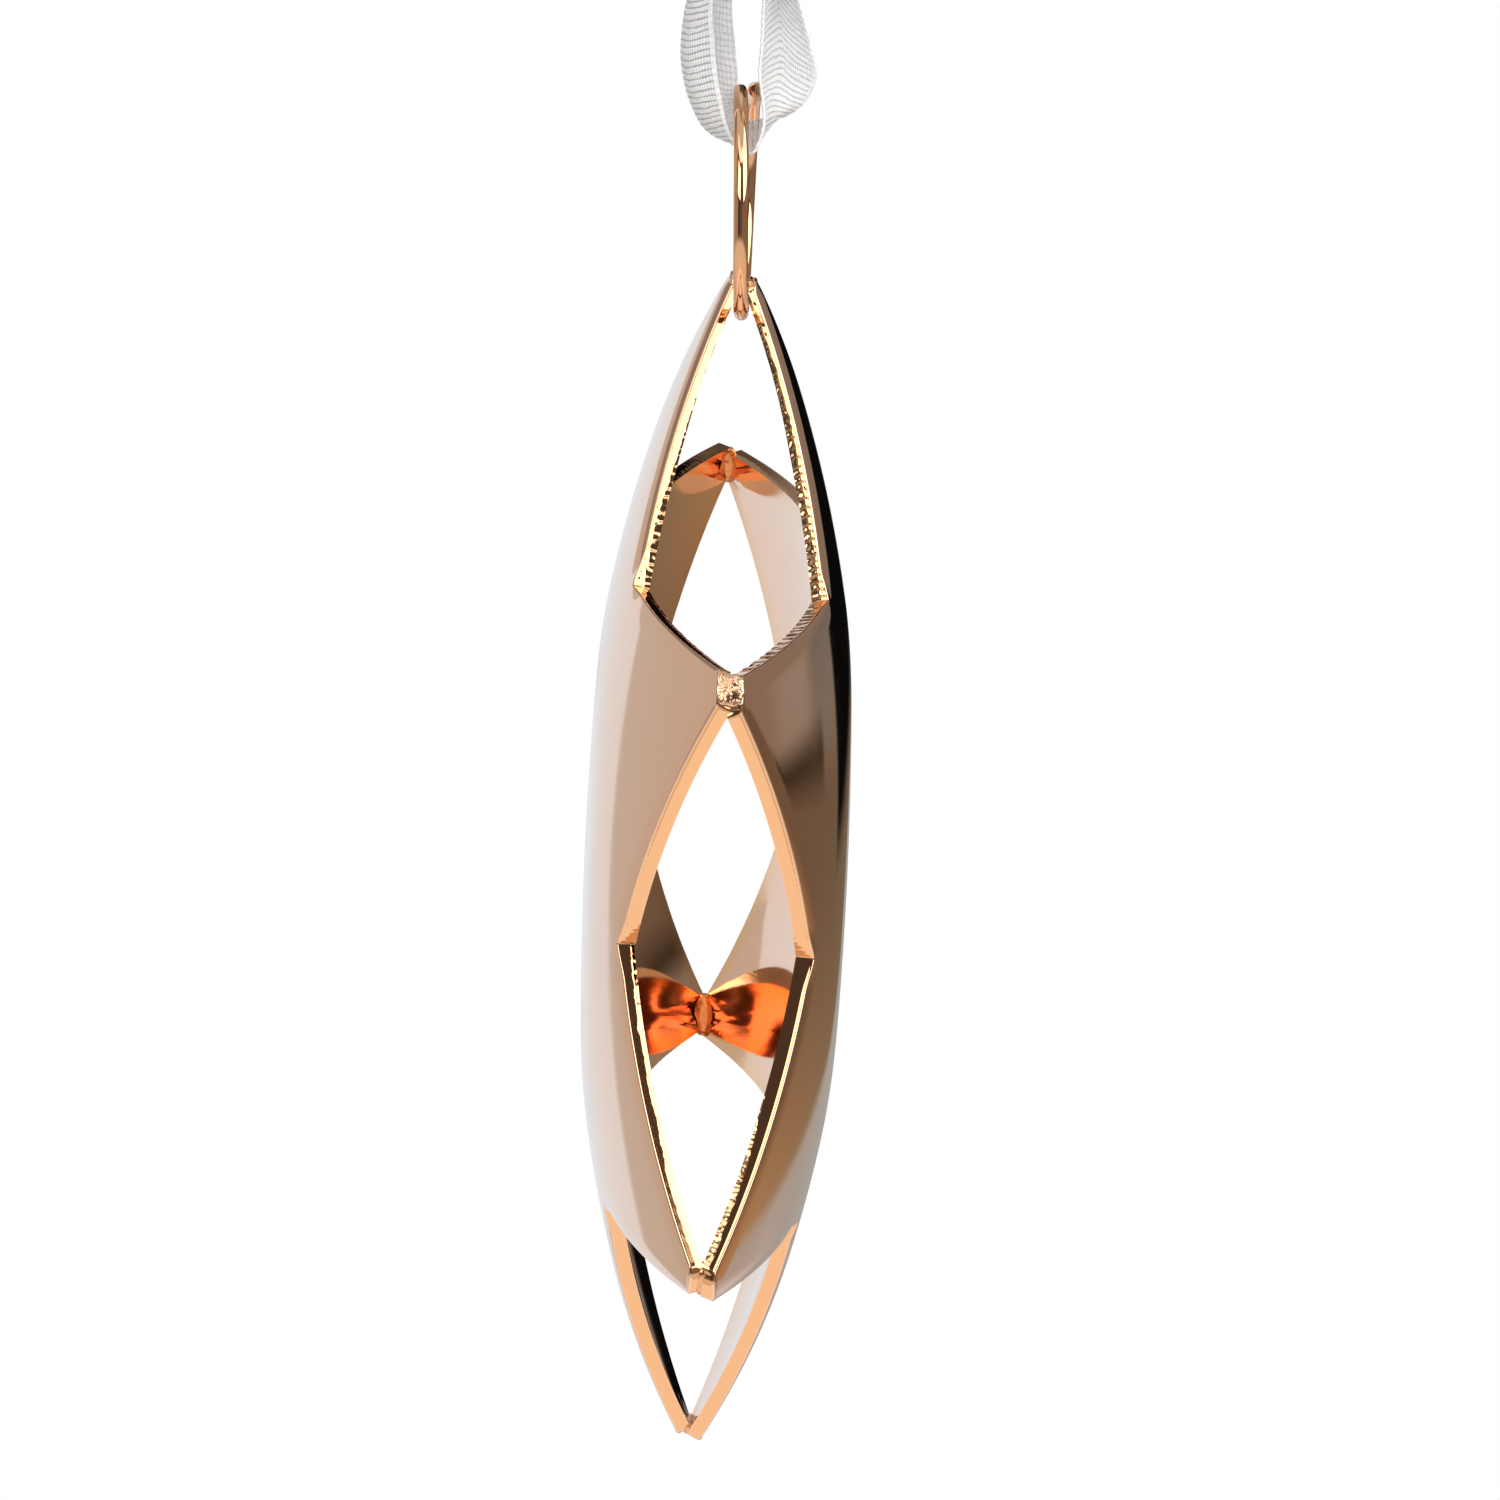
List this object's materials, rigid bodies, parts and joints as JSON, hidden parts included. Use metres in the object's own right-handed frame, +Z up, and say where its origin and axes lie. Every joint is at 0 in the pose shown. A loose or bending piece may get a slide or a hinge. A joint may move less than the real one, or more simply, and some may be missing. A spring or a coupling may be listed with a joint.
{
  "type": "hanging star ornament",
  "caption": "Hanging copper star ornament: two domed sheet-metal star shells joined face to face at their tips, on a jump ring and a loop of white ribbon.",
  "frame": {"origin": "the point inside the ribbon loop, under its knot, where a hook or a twig bears", "axes": "+Z up along the hanging line; the star lies in the X-Z plane, and its two domed faces look along -Y and +Y"},
  "size_m": [0.0668, 0.0168, 0.1141],
  "materials": {
    "polished_copper": "polished rose-copper plate on sheet brass",
    "plated_solder": "copper-plated solder, slightly rough",
    "copper_wire": "polished copper-plated wire",
    "white_ribbon": "semi-sheer woven white ribbon with corded edges"
  },
  "bodies": {
    "ribbon": {"ribbon_loop": "white_ribbon", "ribbon_knot": "white_ribbon"},
    "ring": {"hanging_ring": "copper_wire"},
    "star": {"front_shell": "polished_copper", "back_shell": "polished_copper", "tip_joint_top": "plated_solder", "tip_joint_upper_right": "plated_solder", "tip_joint_lower_right": "plated_solder", "tip_joint_bottom": "plated_solder", "tip_joint_lower_left": "plated_solder", "tip_joint_upper_left": "plated_solder"}
  },
  "joints": [
    {"name": "ring_swing", "type": "hinge", "parent": "ribbon", "child": "ring", "pos_m": [0, 0, -0.01681], "axis": [1, 0, 0], "range_deg": [-60, 60]},
    {"name": "star_swing", "type": "hinge", "parent": "ring", "child": "star", "pos_m": [0, 0, -0.02974], "axis": [0, 1, 0], "range_deg": [-18, 18]}
  ]
}
